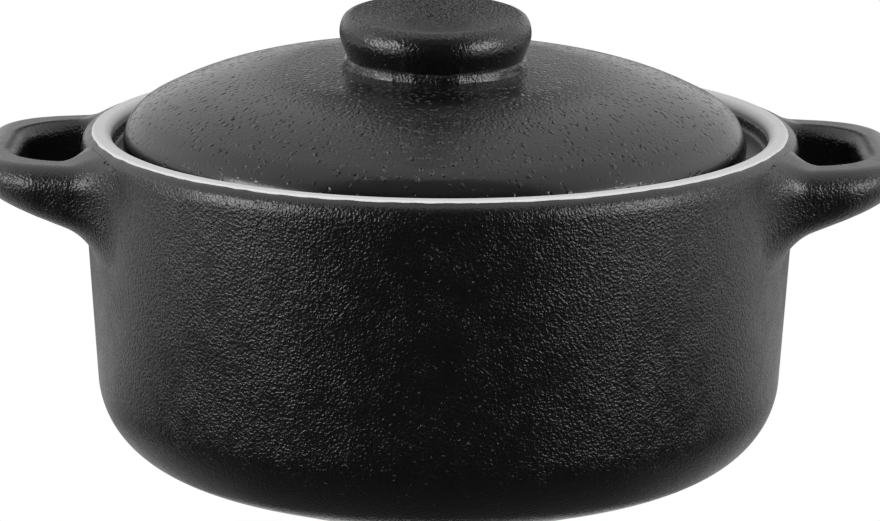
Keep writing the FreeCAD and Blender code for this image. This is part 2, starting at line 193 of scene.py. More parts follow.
def turned(corners: Sequence[Corner], step: float, segments: int,
           closed: bool = False) -> tuple[Array, Faces]:
    """Turns an outline through corners about the upright axis.

    Args:
        corners: The corners in order. An open outline starts and ends on the axis.
        step: Longest distance between two points of the outline, in mm.
        segments: Steps in a full turn.
        closed: True for a ring, whose outline closes on itself away from the axis.

    Returns:
        Vertices in mm and faces.
    """
    outline = rounded_outline(corners, step, closed)
    angles = np.linspace(0, 2 * math.pi, segments, endpoint=False)
    rings = outline if closed else outline[1:-1]
    points = np.stack([rings[:, :1] * np.cos(angles), rings[:, :1] * np.sin(angles),
                       np.broadcast_to(rings[:, 1:], (len(rings), segments))], -1).reshape(-1, 3)
    rows = np.arange(len(rings) * segments).reshape(len(rings), segments)
    lower = rows if closed else rows[:-1]
    upper = np.roll(rows, -1, 0) if closed else rows[1:]
    quads = np.stack([lower, np.roll(lower, -1, 1), np.roll(upper, -1, 1), upper], -1)
    faces = quads.reshape(-1, 4).tolist()
    if not closed:
        poles = [(0, 0, outline[0, 1]), (0, 0, outline[-1, 1])]
        first, last = len(points), len(points) + 1
        points = np.concatenate([points, poles])
        low, high = rows[0].tolist(), rows[-1].tolist()
        faces += [[after, before, first] for before, after in zip(low, low[1:] + low[:1])]
        faces += [[before, after, last] for before, after in zip(high, high[1:] + high[:1])]
    return points, faces


def round_join(first: Array, second: Array, radius: float | Array) -> Array:
    """Distance to two solids joined with a hollow round of a radius between them."""
    inner = np.hypot(np.minimum(first - radius, 0), np.minimum(second - radius, 0))
    return np.maximum(np.minimum(first, second), radius) - inner


def round_cut(first: Array, second: Array, radius: float | Array) -> Array:
    """Distance to what two solids share, with a round of a radius on its edge."""
    outer = np.hypot(np.maximum(first + radius, 0), np.maximum(second + radius, 0))
    return np.minimum(np.maximum(first, second), -radius) + outer


def net_points(values: Array, grid: Array) -> tuple[Array, Array]:
    """One point in each cell that a surface passes through, amid its crossings of the cell's edges.

    Args:
        values: Signed distance at the grid's points.
        grid: Places of the grid's points in mm.

    Returns:
        The points in mm, and each cell's number among them, or -1 for a cell without one.
    """
    inside = values < 0
    size = np.array(values.shape) - 1
    total, crossings = np.zeros((*size, 3)), np.zeros(size)
    for axis in range(3):
        ahead = tuple(slice(1, None) if axis == k else slice(None) for k in range(3))
        here = tuple(slice(None, -1) if axis == k else slice(None) for k in range(3))
        crossed = inside[here] != inside[ahead]
        fall = np.where(crossed, values[here] - values[ahead], 1)
        share = np.where(crossed, values[here] / fall, 0)
        place = grid[here] + share[..., None] * (grid[ahead] - grid[here])
        others = [k for k in range(3) if k != axis]
        for step in ((0, 0), (0, 1), (1, 0), (1, 1)):
            window = [slice(None)] * 3
            for other, shift in zip(others, step):
                window[other] = slice(shift, shift + size[other])
            window = tuple(window)
            total += np.where(crossed[window][..., None], place[window], 0)
            crossings += crossed[window]
    used = crossings > 0
    numbers = np.full(used.shape, -1)
    numbers[used] = np.arange(used.sum())
    return total[used] / crossings[used][:, None], numbers


def net_faces(inside: Array, numbers: Array) -> Faces:
    """Faces that join the points of the four cells round each crossed edge, turned outwards.

    Args:
        inside: True at the grid's points inside the surface.
        numbers: Number of each cell's point.

    Returns:
        Faces by vertex number.
    """
    faces: Faces = []
    for axis in range(3):
        others = [k for k in range(3) if k != axis]
        core = [slice(1, -1)] * 3
        core[axis] = slice(None, -1)
        ahead = [slice(1, -1)] * 3
        ahead[axis] = slice(1, None)
        start, end = inside[tuple(core)], inside[tuple(ahead)]
        found = np.argwhere(start != end)
        leaves = start[tuple(found.T)] != (axis == 1)
        cells = np.array(found)
        cells[:, others] += 1
        ring = []
        for steps in ((0, 0), (1, 0), (1, 1), (0, 1)):
            corner = cells.copy()
            corner[:, others] -= np.array(steps)
            ring.append(numbers[tuple(corner.T)])
        quads = np.stack(ring, -1)
        quads[~leaves] = quads[~leaves][:, ::-1]
        faces += quads.tolist()
    return faces


def surface_net(distance: Callable[[Array], Array], low: Array, high: Array,
                cell: float) -> tuple[Array, Faces, Array]:
    """Even mesh of the surface on which a distance is zero.

    Args:
        distance: Gives the signed distance at points of any shape (..., 3), below zero inside.
        low: Lowest corner of the space to mesh, in mm.
        high: Highest corner of that space, in mm.
        cell: Side of a cell, in mm.

    Returns:
        Vertices in mm, faces and the unit normals of the vertices.
    """
    axes = [np.arange(a, b + cell, cell) for a, b in zip(low, high)]
    grid = np.stack(np.meshgrid(*axes, indexing="ij"), -1)
    values = distance(grid)
    points, numbers = net_points(values, grid)
    reach = SETTLING_REACH * cell
    for _ in range(SETTLING_STEPS):
        slope = gradient(distance, points)
        steepness = np.maximum((slope * slope).sum(-1), LEAST_SLOPE)
        step = np.clip(distance(points) / steepness, -reach, reach)
        points = points - slope * step[:, None]
    slope = gradient(distance, points)
    normals = slope / np.maximum(np.linalg.norm(slope, axis=-1, keepdims=True), LEAST_SLOPE)
    return points, net_faces(values < 0, numbers), normals


def gradient(distance: Callable[[Array], Array], points: Array) -> Array:
    """Slope of a distance, by small steps both ways.

    Args:
        distance: Gives the signed distance at points.
        points: Where to take the slope, in mm.

    Returns:
        The slope at each point.
    """
    steps = np.eye(3) * SLOPE_STEP
    return np.stack([(distance(points + step) - distance(points - step)) / (2 * SLOPE_STEP)
                     for step in steps], -1)


def unevenness(points: Array, wave: float, depth: float, seed: float) -> Array:
    """Gentle waves of a hand-finished surface.

    Args:
        points: Places in mm.
        wave: Width of a wave in mm.
        depth: Greatest height of a wave in mm.
        seed: Shift that makes one piece differ from the next.

    Returns:
        Height of the surface at each place, in mm.
    """
    shift = Vector((seed, seed, seed))
    return depth * np.array([noise.noise(Vector(point) / wave + shift) for point in points])


def placed(name: str, data: bpy.types.ID) -> bpy.types.Object:
    """Puts a mesh, lamp or camera in the scene.

    Args:
        name: Name of the object.
        data: What it shows.

    Returns:
        The new object.
    """
    thing = bpy.data.objects.new(name, data)
    bpy.context.scene.collection.objects.link(thing)
    return thing


# Finishes

def linear(colour: str) -> tuple[float, float, float, float]:
    """Linear RGBA of an sRGB hex colour such as "#0c0c0c"."""
    channels = [int(colour[place:place + 2], 16) / 255 for place in (1, 3, 5)]
    return *(c / 12.92 if c <= 0.04045 else ((c + 0.055) / 1.055) ** 2.4 for c in channels), 1.0


def add_node(tree: Tree, kind: str, settings: Mapping[str, object] | None = None,
             values: Mapping[str | int, object] | None = None,
             links: Mapping[str | int, Socket | bpy.types.Node] | None = None) -> bpy.types.Node:
    """Adds a shader node with its settings, socket values and incoming links.

    Args:
        tree: Node tree of the material or world.
        kind: Type of node, without the ShaderNode that all of them start with.
        settings: Properties of the node.
        values: Values of input sockets.
        links: Outputs by the input that they go to. A node stands for its first output.

    Returns:
        The new node.
    """
    made = tree.nodes.new(f"ShaderNode{kind}")
    for name, value in (settings or {}).items():
        setattr(made, name, value)
    for socket, value in (values or {}).items():
        made.inputs[socket].default_value = value
    for socket, source in (links or {}).items():
        output = source.outputs[0] if isinstance(source, bpy.types.Node) else source
        tree.links.new(output, made.inputs[socket])
    return made


def empty_material(name: str) -> bpy.types.Material:
    """Makes a material with an empty node tree.

    Args:
        name: Name of the material.

    Returns:
        The new material.
    """
    material = bpy.data.materials.new(name)
    material.use_nodes = True
    material.node_tree.nodes.clear()
    return material


def per_metre(size_mm: float) -> float:
    """Scale of a pattern whose cells have a size in mm, on coordinates in metres."""
    return 1 / (size_mm * MM)


def soft_noise(tree: Tree, place: Socket, size_mm: float,
               detail: float) -> bpy.types.Node:
    """Adds noise with cells of a size in mm, at coordinates in metres."""
    return add_node(tree, "TexNoise", {}, {"Scale": per_metre(size_mm), "Detail": detail},
                    {"Vector": place})


@dataclass(frozen=True)
class Spots:
    """Grit or pinholes in a glaze: one in each chosen cell, below zero in height for pits."""

    spacing_mm: float
    share: float
    radius: float
    height_mm: float
    bend: float = 0.9
    bend_size: float = 0.5
    smallest: float = 0.55


@dataclass(frozen=True)
class MattGlaze:
    """Iron-black stoneware glaze, fired matt, with grog that stands out as a sandy grain.

    The eye gets a near-black skin that mirrors its surroundings softly, brighter at a low angle, and
    breaks each highlight into points on the grains.
    """

    name: str
    colour: str = "#0b0b0b"
    ior: float = 1.5
    roughness: float = 0.3
    roughness_spread: float = 0.06
    grain_mm: float = 0.8
    grain_height_mm: float = 0.09
    side_share: float = 1.0
    top_share: float = 1.0
    scatter: tuple[Spots, ...] = ()
    slot: str = "glazed_black"
    ending: str = "glazed"
    wander_size: float = 1.2
    wander_shift: float = 0.5
    worm_size: float = 0.6
    grain_from: float = 0.34
    grain_to: float = 0.68
    patch_size: float = 6.0
    patch_from: float = 0.35
    patch_to: float = 0.65
    calm: float = 0.6
    coarse: float = 1.2

    def coarseness(self, tree: Tree) -> Socket:
        """Share of the grain's height, less where the glaze ran smooth on level or steep faces.

        Args:
            tree: Node tree of the material.

        Returns:
            The share.
        """
        facing = add_node(tree, "NewGeometry")
        parts = add_node(tree, "SeparateXYZ", {}, {}, {0: facing.outputs["Normal"]})
        coarse = add_node(tree, "MapRange", SMOOTH,
                          {"From Min": STEEP, "From Max": LEVEL,
                           "To Min": self.side_share, "To Max": self.top_share},
                          {"Value": parts.outputs[2]})
        return coarse.outputs["Result"]

    def spots(self, tree: Tree, place: Socket, spots: Spots,
              coarse: Socket, normal: Socket) -> Socket:
        """Scatters low domes or pits over the surface.

        Args:
            tree: Node tree of the material.
            place: Coordinates, in metres.
            spots: Size, share and height of the spots.
            coarse: How far the spots stand out on each face.
            normal: Normal to start from.

        Returns:
            The normal with the spots.
        """
        bend = soft_noise(tree, place, spots.spacing_mm * spots.bend_size, 2.0)
        bent = add_node(tree, "VectorMath", {"operation": "MULTIPLY_ADD"},
                        {1: (spots.spacing_mm * MM * spots.bend,) * 3},
                        {0: bend.outputs["Color"], 2: place})
        cells = add_node(tree, "TexVoronoi", {}, {"Scale": per_metre(spots.spacing_mm)},
                         {"Vector": bent})
        draw = add_node(tree, "SeparateColor", {}, {}, {0: cells.outputs["Color"]})
        chosen = add_node(tree, "Math", {"operation": "LESS_THAN"}, {1: spots.share},
                          {0: draw})
        radius = add_node(tree, "MapRange", {},
                          {"To Min": spots.radius * spots.smallest, "To Max": spots.radius},
                          {"Value": draw.outputs[1]})
        dome = add_node(tree, "MapRange", SMOOTH, {"From Max": 0.0},
                        {"Value": cells.outputs["Distance"], "From Min": radius})
        spot = add_node(tree, "Math", TIMES, {}, {0: dome, 1: chosen})
        raised = add_node(tree, "Math", TIMES, {}, {0: spot, 1: coarse})
        bump = add_node(tree, "Bump", {"invert": spots.height_mm < 0},
                        {"Distance": abs(spots.height_mm) * MM},
                        {"Height": raised, "Normal": normal})
        return bump.outputs["Normal"]

    def material(self) -> bpy.types.Material:
        """Builds the glaze on object coordinates.

        Returns:
            The new material.
        """
        material = empty_material(self.name)
        tree = material.node_tree
        place = add_node(tree, "TexCoord").outputs["Object"]
        wander = soft_noise(tree, place, self.grain_mm * self.wander_size, 1.0)
        moved = add_node(tree, "VectorMath", {"operation": "MULTIPLY_ADD"},
                         {1: (self.grain_mm * MM * self.wander_shift,) * 3},
                         {0: wander.outputs["Color"], 2: place}).outputs[0]
        worms = soft_noise(tree, moved, self.grain_mm * self.worm_size, 1.0)
        grains = add_node(tree, "MapRange", SMOOTH,
                          {"From Min": self.grain_from, "From Max": self.grain_to},
                          {"Value": worms})
        patches = soft_noise(tree, place, self.grain_mm * self.patch_size, 3.0)
        strength = add_node(tree, "MapRange", {},
                            {"From Min": self.patch_from, "From Max": self.patch_to,
                             "To Min": self.calm, "To Max": self.coarse},
                            {"Value": patches})
        coarse = self.coarseness(tree)
        uneven = add_node(tree, "Math", TIMES, {},
                          {0: grains, 1: strength})
        raised = add_node(tree, "Math", TIMES, {}, {0: uneven, 1: coarse})
        bump = add_node(tree, "Bump", {}, {"Distance": self.grain_height_mm * MM},
                        {"Height": raised})
        normal = bump.outputs["Normal"]
        for spots in self.scatter:
            normal = self.spots(tree, moved, spots, coarse, normal)
        gloss = add_node(tree, "MapRange", {},
                         {"To Min": self.roughness - self.roughness_spread,
                          "To Max": self.roughness + self.roughness_spread},
                         {"Value": patches})
        shader = add_node(tree, "BsdfPrincipled", {},
                          {"Base Color": linear(self.colour), "IOR": self.ior},
                          {"Normal": normal, "Roughness": gloss})
        add_node(tree, "OutputMaterial", {}, {}, {"Surface": shader})
        return material


@dataclass(frozen=True)
class BareClay:
    """White stoneware clay, wiped bare of glaze and fired, as on a rim or foot that would else stick.

    The eye gets a dry off-white with a fine tooth and hardly any shine.
    """

    name: str
    colour: str = "#e2e2e2"
    shade: str = "#d8d8d8"
    ior: float = 1.5
    roughness: float = 0.75
    grain_mm: float = 0.5
    grain_height_mm: float = 0.012
    blush_size: float = 12.0
    slot: str = "bare_clay"
    ending: str = "bare"

    def material(self) -> bpy.types.Material:
        """Builds the clay on object coordinates.

        Returns:
            The new material.
        """
        material = empty_material(self.name)
        tree = material.node_tree
        place = add_node(tree, "TexCoord").outputs["Object"]
        tooth = soft_noise(tree, place, self.grain_mm, 3.0)
        blush = soft_noise(tree, place, self.grain_mm * self.blush_size, 4.0)
        colour = add_node(tree, "Mix", {"data_type": "RGBA"},
                          {6: linear(self.shade), 7: linear(self.colour)}, {0: blush})
        bump = add_node(tree, "Bump", {}, {"Distance": self.grain_height_mm * MM},
                        {"Height": tooth})
        shader = add_node(tree, "BsdfPrincipled", {}, {"IOR": self.ior, "Roughness": self.roughness},
                          {"Base Color": colour.outputs[2], "Normal": bump.outputs["Normal"]})
        add_node(tree, "OutputMaterial", {}, {}, {"Surface": shader})
        return material


# Glaze over sandy clay, on the wall and the handles: its grains break the light into points.
SANDY = MattGlaze("matt_black_glaze_sandy", roughness=0.27, grain_mm=0.7, grain_height_mm=0.055,
                  top_share=0.25, scatter=(Spots(0.6, 0.12, 0.45, 0.14),))
# Glaze on the lid, with grit in it and pinholes from gas: dots and pits where the lid is level.
PITTED = MattGlaze("matt_black_glaze_pitted", roughness=0.17, grain_height_mm=0.02, side_share=0.15,
                   scatter=(Spots(1.5, 0.8, 0.38, 0.4, 0.4), Spots(1.25, 0.9, 0.4, -0.45, 0.4)))
# Glaze on the knob, which ran smooth down its side: soft highlights there, bumps in the hollow.
SATIN = MattGlaze("matt_black_glaze_satin", roughness=0.22, grain_height_mm=0.1, side_share=0.35,
                  scatter=(Spots(0.8, 0.1, 0.45, 0.15), Spots(1.4, 0.6, 0.4, 0.26, 0.4)))
# Glaze over torn slip, glossier than the rest: the bead glints.
ROUGH = MattGlaze("matt_black_glaze_over_rough_slip", roughness=0.14, grain_mm=0.6, grain_height_mm=0.06,
                  scatter=(Spots(0.8, 0.2, 0.5, 0.08),))
# Clay wiped bare for the firing: the pale dry rim.
CLAY = BareClay("bare_white_stoneware")


# Pieces

def as_piece(node: str, body: str, finish: MattGlaze | BareClay, points: Array,
             faces: Faces, normals: Array | None = None) -> None:
    """Makes a smooth mesh piece that rides on a body and stands for a CAD node.

    Args:
        node: CAD node that it replaces.
        body: CAD body that it rides on.
        finish: Its glaze or clay.
        points: Vertices in mm.
        faces: Faces by vertex number.
        normals: Unit normals for shading, or None for Blender's own.
    """
    name = f"{node}_{finish.ending}"
    mesh = bpy.data.meshes.new(name)
    mesh.from_pydata((points * MM).tolist(), [], faces)
    mesh.validate()
    mesh.shade_smooth()
    if normals is not None:
        mesh.normals_split_custom_set_from_vertices(normals.tolist())
    mesh.materials.append(finish.material())
    piece = placed(name, mesh)
    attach(piece, body)
    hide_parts(node)
    log.info("%s: %d faces", name, len(faces))


@dataclass
class Dish:
    """Round dish with a gallery inside its rim, a bare rim and a bare foot ring. Sizes in mm."""

    body: str = "dish"
    rim_radius: float = 55.0
    rim_width: float = 3.1
    rim_outer_round: float = 0.35
    rim_inner_round: float = 1.3
    band_outside: float = 0.3
    band_inside: float = 1.7
    wall: float = 4.0
    lean: float = 1.2
    swell: float = 1.74
    shoulder_drop: float = 2.6
    shoulder_round: float = 4.0
    shoulder_tuck: float = 0.35
    lip_drop: float = 0.8
    lip_round: float = 1.3
    base: float = 4.2
    base_round: float = 14.0
    inner_round: float = 10.0
    foot_height: float = 1.5
    seat_depth: float = 3.6
    seat_width: float = 5.6
    seat_back_round: float = 0.8
    ledge: float = 3.4
    ledge_slope: float = 6.0
    mouth_round: float = 1.2
    under_ledge_round: float = 5.0
    glaze_depth: float = 0.07
    glaze_wander: float = 0.14
    glaze_wave: float = 2.5
    glaze_seed: float = 3.0
    glaze_under: float = 0.5
    glaze_rise: float = 0.1
    wander_outside: float = 0.3
    wander_above_seat: float = 0.6
    band_slope: float = 0.5
    rim_foot: float = 0.45
    rim_foot_out: float = 0.15
    step: float = 0.6
    segments: int = 384
    rim_z: float = field(default_factory=lambda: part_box("rim_band")[1].z / MM)

    @property
    def full_wall(self) -> float:
        """Radius of the shoulder's corner."""
        return self.rim_radius + self.swell

    @property
    def glaze_z(self) -> float:
        """Height of the glaze line outside."""
        return self.rim_z - self.band_outside

    def band_edge(self) -> float:
        """Radius of the glaze line outside."""
        return self.rim_radius + self.band_outside * self.band_slope

    def outer_corners(self) -> list[Corner]:
        """Corners of the outer form from the middle of the base to the glaze line."""
        return [Corner(0, self.foot_height),
                Corner(self.rim_radius - self.lean, self.foot_height, self.base_round),
                Corner(self.full_wall, self.rim_z - self.shoulder_drop, self.shoulder_round),
                Corner(self.full_wall - self.shoulder_tuck, self.rim_z - self.lip_drop, self.lip_round),
                Corner(self.band_edge(), self.glaze_z)]

    def wall_radius(self, up: Array) -> Array:
        """Radius of the outer form at heights, upright above the glaze line."""
        outline = rounded_outline(self.outer_corners(), self.step / 4)
        return np.interp(up, outline[1:, 1], outline[1:, 0])

    def build_body(self) -> None:
        """Glazed wall, floor and gallery, whose glaze ends in a slightly wandering line."""
        inside = self.rim_radius - self.rim_width
        mouth = inside - self.seat_width
        seat = self.rim_z - self.seat_depth
        under = seat - self.ledge
        line = self.rim_z - self.band_inside
        floor = self.foot_height + self.base
        points, faces = turned([
            *self.outer_corners(),
            Corner(self.band_edge() - self.glaze_under, self.glaze_z + self.glaze_rise),
            Corner(inside + self.glaze_under, line + self.glaze_rise),
            Corner(inside, line),
            Corner(inside, seat, self.seat_back_round),
            Corner(mouth, seat, self.mouth_round),
            Corner(mouth, under, self.mouth_round),
            Corner(self.full_wall - self.wall, under - self.ledge_slope, self.under_ledge_round),
            Corner(self.rim_radius - self.lean - self.wall, floor, self.inner_round),
            Corner(0, floor),
        ], self.step, self.segments)
        angle = np.arctan2(points[:, 1], points[:, 0])
        around = np.stack([np.cos(angle), np.sin(angle), np.zeros_like(angle)], -1) * self.rim_radius
        outside = np.hypot(points[:, 0], points[:, 1]) > self.rim_radius - self.rim_width / 2
        start = np.where(outside, self.glaze_z - self.wander_outside,
                         seat + self.wander_above_seat)
        near_line = np.clip((points[:, 2] - start) / (self.glaze_z - start), 0, 1)
        wander = unevenness(around, self.glaze_wave, self.glaze_wander, self.glaze_seed)
        points[:, 2] += near_line * wander
        as_piece("dish_body", self.body, SANDY, points, faces)

    def build_rim(self) -> None:
        """Bare clay on top of the wall, a glaze's depth behind the glazed faces below it."""
        inside = self.rim_radius - self.rim_width
        sunk = self.glaze_depth
        points, faces = turned([
            Corner(self.band_edge() - sunk + self.rim_foot_out, self.glaze_z - self.rim_foot),
            Corner(self.rim_radius - sunk, self.rim_z, self.rim_outer_round),
            Corner(inside + sunk, self.rim_z, self.rim_inner_round),
            Corner(inside + sunk, self.rim_z - self.band_inside - self.rim_foot),
        ], self.step / 3, self.segments, closed=True)
        as_piece("rim_band", self.body, CLAY, points, faces)

    def dress_foot(self) -> None:
        """The foot ring's own solid has its shape, so it gets the bare clay."""
        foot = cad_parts["foot_ring"]
        foot.data.materials.clear()
        foot.data.materials.append(BareClay("bare_white_stoneware_foot").material())

    def build(self) -> None:
        """Builds the whole dish without its handles."""
        self.build_body()
        self.build_rim()
        self.dress_foot()


class Side(Enum):
    """Side of the dish that a handle is on, with the sign of its X."""

    RIGHT = 1
    LEFT = -1


@dataclass
class Handle:
    """Loop handle pressed flat on top, thumbed into the wall all round its roots. Sizes in mm."""

    side: Side
    dish: Dish
    body: str = "dish"
    width: float = 41.4
    root_width: float = 49.0
    side_slope: float = 0.25
    drop: float = 2.6
    bar: float = 6.2
    end_depth: float = 5.0
    root_depth: float = 11.4
    corner: float = 10.5
    slot_corner: float = 9.0
    outer_round: float = 4.0
    slot_round: float = 2.4
    root_round: float = 4.5
    sunk: float = 0.03
    lip_sunk: float = 0.35
    lip_start: float = 1.4
    lip_ramp: float = 0.8
    trim_rise: float = 0.1
    trim_round: float = 0.7
    root_cap: float = 1.0
    inside_wall: float = 0.6
    cell: float = 0.5
    mesh_start: float = 30.0
    mesh_beside: float = 5.0
    mesh_below: float = 4.0
    mesh_past: float = 1.0

    @property
    def node(self) -> str:
        """CAD node that the handle stands for."""
        return "right_handle" if self.side is Side.RIGHT else "left_handle"

    def plan_distance(self, points: Array, half: float | Array, end: float,
                      corner: float) -> Array:
        """Distance in plan to a long rectangle with rounded outer corners.

        Args:
            points: Places in mm, with X away from the dish.
            half: Half of the rectangle's width.
            end: X of its outer end.
            corner: Radius of its outer corners.

        Returns:
            Distances in mm, below zero inside.
        """
        across = np.abs(points[..., 1]) - (half - corner)
        along = points[..., 0] - (end - corner)
        outside = np.hypot(np.maximum(across, 0), np.maximum(along, 0))
        return outside + np.minimum(np.maximum(across, along), 0) - corner

    def distance(self, points: Array) -> Array:
        """Distance to the handle and its thumbed roots.

        Args:
            points: Places in mm, with X away from the dish.

        Returns:
            Distances in mm, below zero inside the clay.
        """
        dish = self.dish
        up = points[..., 2]
        wall = np.hypot(points[..., 0], points[..., 1]) - dish.wall_radius(up)
        end = abs(self.end_x)
        top = dish.rim_z - self.drop
        along = (points[..., 0] - dish.rim_radius) / (end - dish.rim_radius)
        depth = self.root_depth + (self.end_depth - self.root_depth) * np.minimum(along, 1)
        flare = (self.root_width - self.width) / 2 * (1 - along)
        half = self.width / 2 + flare - self.side_slope * np.clip(top - up, 0, self.root_depth)
        outer = self.plan_distance(points, half, end, self.corner) / math.hypot(1, self.side_slope)
        slot = self.plan_distance(points, self.width / 2 - self.bar, end - self.bar, self.slot_corner)
        slab = np.abs(up - (top - depth / 2)) - depth / 2
        bar = round_cut(outer, slab, np.minimum(depth / 2, self.outer_round))
        bar = round_cut(bar, -slot, self.slot_round)
        joined = round_join(bar, wall, self.root_round)
        trimmed = round_cut(joined, up - (dish.glaze_z + self.trim_rise), self.trim_round)
        near_lip = np.clip((up - (dish.glaze_z - self.lip_start)) / self.lip_ramp, 0, 1)
        sunk = self.sunk + self.lip_sunk * near_lip
        patch = np.maximum(trimmed + sunk, -self.inside_wall - wall)
        return np.maximum(patch, bar - self.root_round - self.root_cap)

    @property
    def end_x(self) -> float:
        """X of the handle's outer end, from the frame."""
        low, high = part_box(self.node)
        return (high.x if self.side is Side.RIGHT else low.x) / MM

    def build(self) -> None:
        """Meshes the handle on its side of the dish and glazes it."""
        reach = self.root_width / 2 + self.root_round + self.mesh_beside
        below = self.dish.rim_z - self.drop - self.root_depth - self.root_round - self.mesh_below
        low = np.array((self.mesh_start, -reach, below))
        high = np.array((abs(self.end_x) + self.mesh_past, reach, self.dish.rim_z + self.mesh_past))
        points, faces, normals = surface_net(self.distance, low, high, self.cell)
        turn = np.array((self.side.value, self.side.value, 1))
        as_piece(self.node, self.body, SANDY, points * turn, faces, normals * turn)


@dataclass
class Lid:
    """Domed lift-off lid with a locating ring under it and a luted knob on top. Sizes in mm."""

    body: str = "lid"
    thickness: float = 4.2
    edge_height: float = 5.4
    edge_round: float = 7.0
    seat_round: float = 1.0
    crown_set_in: float = 15.2
    crown_fall: float = 0.9
    crown_round: float = 48.0
    hollow_round: float = 20.0
    hollow_lip: float = 3.0
    ring_width: float = 2.6
    ring_taper: float = 0.4
    ring_round: float = 0.8
    knob_radius: float = 15.5
    knob_height: float = 8.5
    knob_crest: float = 13.3
    knob_crest_round: float = 0.6
    knob_dish: float = 1.8
    knob_dish_flat: float = 4.5
    knob_dish_round: float = 22.0
    knob_fall: float = 1.3
    knob_lip_set_in: float = 1.1
    knob_lip_drop: float = 0.3
    knob_lip_round: float = 1.6
    knob_roll_height: float = 5.6
    knob_roll_round: float = 5.0
    neck_radius: float = 13.8
    neck_height: float = 0.8
    neck_round: float = 1.0
    knob_sunk: float = 0.3
    bead_width: float = 0.8
    bead_height: float = 1.1
    bead_slope: float = 0.3
    bead_round: float = 0.6
    bead_inside: float = 0.5
    bead_sunk: float = 1.0
    bead_lump: float = 0.25
    bead_lump_length: float = 2.2
    bead_lump_sunk: float = 0.8
    bead_seed: float = 7.0
    bead_step: float = 0.15
    fall_right: float = 0.007
    fall_front: float = 0.016
    upright: float = 3.0
    step: float = 0.6
    segments: int = 384
    seat: float = field(default_factory=lambda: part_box("lid_shell")[0].z / MM)
    crown: float = field(default_factory=lambda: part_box("lid_shell")[1].z / MM)

    @property
    def middle(self) -> Array:
        """X and Y of the lid's own axis, which lies off the dish's by the play of the loose lid."""
        low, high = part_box("lid_shell")
        return np.array((low.x + high.x, low.y + high.y)) / 2 / MM

    @property
    def edge(self) -> float:
        """Radius of the lid."""
        low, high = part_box("lid_shell")
        return (high.x - low.x) / 2 / MM

    @property
    def ring_outside(self) -> float:
        """Radius of the locating ring."""
        low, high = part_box("lid_locating_ring")
        return (high.x - low.x) / 2 / MM

    def crown_at(self, radius: float) -> float:
        """Height of the crown's gentle cone at a radius."""
        return self.crown - self.crown_fall * radius / (self.edge - self.crown_set_in)

    def add(self, node: str, finish: MattGlaze | BareClay, points: Array,
            faces: Faces) -> None:
        """Adds a turned piece, a little lopsided above its seat as the potter left it.

        Args:
            node: CAD node that it replaces.
            finish: Its glaze or clay.
            points: Vertices in mm about the lid's own axis.
            faces: Faces by vertex number.
        """
        lean = points[:, 1] * self.fall_front - points[:, 0] * self.fall_right
        points[:, 2] += lean * np.clip((points[:, 2] - self.seat) / self.upright, 0, 1)
        points[:, :2] += self.middle
        as_piece(node, self.body, finish, points, faces)

    def build_shell(self) -> None:
        """Glazed dome with a flat seat."""
        crown_edge = self.edge - self.crown_set_in
        ring_inside = self.ring_outside - self.ring_width
        hollow = self.crown - self.thickness
        points, faces = turned([
            Corner(0, hollow),
            Corner(crown_edge - self.thickness / 2, hollow - self.crown_fall, self.hollow_round),
            Corner(ring_inside - self.ring_taper, self.seat + self.hollow_lip),
            Corner(ring_inside, self.seat),
            Corner(self.edge, self.seat, self.seat_round),
            Corner(self.edge, self.seat + self.edge_height, self.edge_round),
            Corner(crown_edge, self.crown - self.crown_fall, self.crown_round),
            Corner(0, self.crown),
        ], self.step, self.segments)
        self.add("lid_shell", PITTED, points, faces)

    def build_ring(self) -> None:
        """Bare locating ring under the lid."""
        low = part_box("lid_locating_ring")[0].z / MM
        inside = self.ring_outside - self.ring_width
        points, faces = turned([
            Corner(inside, low, self.ring_round),
            Corner(self.ring_outside - self.ring_taper, low, self.ring_round),
            Corner(self.ring_outside, self.seat),
            Corner(inside, self.seat),
        ], self.step, self.segments, closed=True)
        self.add("lid_locating_ring", BareClay("bare_white_stoneware_ring"), points, faces)

    def build_knob(self) -> None:
        """Glazed knob with a rolled edge, a waisted neck and a dished top that falls to the front."""
        top = self.crown + self.knob_height
        points, faces = turned([
            Corner(0, self.crown - self.knob_sunk),
            Corner(self.neck_radius, self.crown_at(self.neck_radius) - self.knob_sunk),
            Corner(self.neck_radius, self.crown + self.neck_height, self.neck_round),
            Corner(self.knob_radius, self.crown + self.knob_roll_height, self.knob_roll_round),
            Corner(self.knob_radius - self.knob_lip_set_in, top - self.knob_lip_drop, self.knob_lip_round),
            Corner(self.knob_crest, top, self.knob_crest_round),
            Corner(self.knob_dish_flat, top - self.knob_dish, self.knob_dish_round),
            Corner(0, top - self.knob_dish),
        ], self.step / 2, self.segments)
        share = np.clip((points[:, 2] - self.crown) / self.knob_height, 0, 1)
        points[:, 2] += share * self.knob_fall * (points[:, 1] / self.knob_crest - 1) / 2
        self.add("lid_knob", SATIN, points, faces)

    def build_bead(self) -> None:
        """Bead of slip squeezed out where the knob is luted on, lumpy as it dried."""
        foot = self.neck_radius + self.bead_width
        inside = self.neck_radius - self.bead_inside
        low, high = self.crown - self.bead_sunk, self.crown + self.bead_height
        points, faces = turned([
            Corner(inside, low),
            Corner(foot, low),
            Corner(foot, self.crown_at(foot)),
            Corner(foot - self.bead_slope, high, self.bead_round),
            Corner(inside, high),
        ], self.bead_step, self.segments * 2, closed=True)
        lump = unevenness(points, self.bead_lump_length, self.bead_lump, self.bead_seed)
        lump *= points[:, 2] > self.crown - self.bead_lump_sunk
        away = points[:, :2] / np.linalg.norm(points[:, :2], axis=1, keepdims=True)
        points[:, :2] += away * lump[:, None]
        points[:, 2] += lump
        self.add("knob_slip_bead", ROUGH, points, faces)

    def build(self) -> None:
        """Builds the whole lid."""
        self.build_shell()
        self.build_ring()
        self.build_knob()
        self.build_bead()


# Studio

